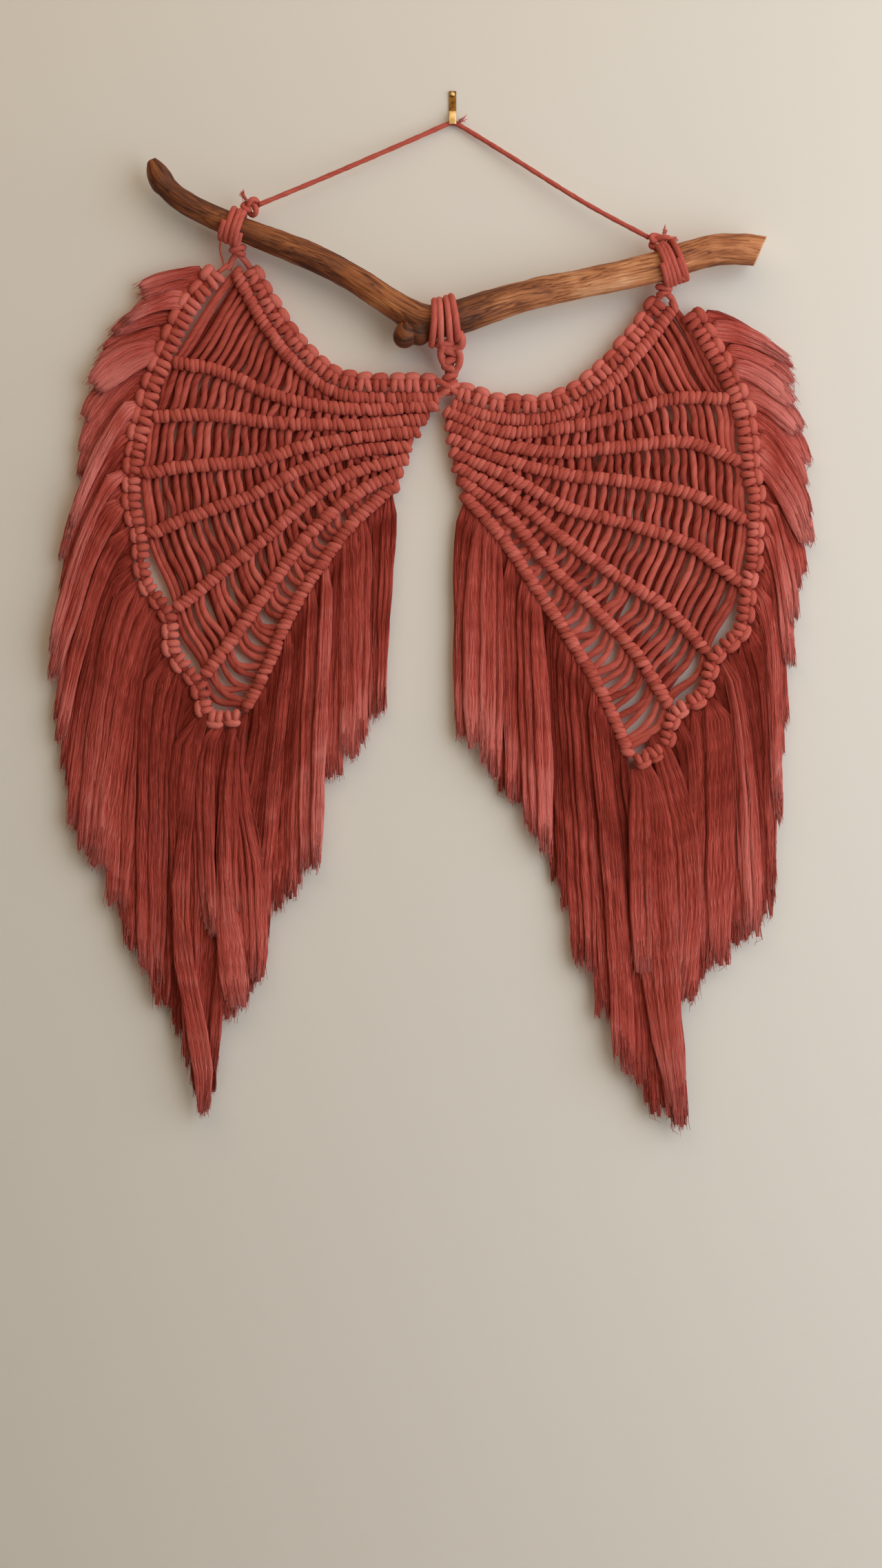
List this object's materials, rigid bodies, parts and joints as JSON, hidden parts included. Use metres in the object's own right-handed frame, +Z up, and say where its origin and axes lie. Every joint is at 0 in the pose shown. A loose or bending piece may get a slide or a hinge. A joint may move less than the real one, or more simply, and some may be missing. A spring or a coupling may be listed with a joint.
{
  "type": "macrame wall hanging with branch and wall hook",
  "caption": "Hanging of two knotted cotton wings with combed fringe on a bent driftwood branch, hung by a cord over a small wall hook.",
  "frame": {"origin": "middle of the hook's back face, on the wall", "axes": "+Z up, +X to the right as seen from the room, +Y into the wall"},
  "size_m": [0.5612, 0.0385, 0.7611],
  "materials": {
    "cotton": "matt spun cotton, combed out at the fringe",
    "driftwood": "weathered, bare, cracked along the grain",
    "brass": "satin, slightly tarnished"
  },
  "bodies": {
    "root": {"branch": "driftwood", "wall_hook": "brass", "hook_nail": "brass", "hanger_cord": "cotton", "tie_left": "cotton", "tie_right": "cotton", "centre_loop": "cotton", "neckline_left": "cotton", "neckline_right": "cotton", "wing_left": "cotton", "wing_right": "cotton", "edge_left": "cotton", "edge_right": "cotton", "outer_fringe_left": "cotton", "outer_fringe_right": "cotton", "lower_fringe_left": "cotton", "lower_fringe_right": "cotton"}
  },
  "joints": []
}
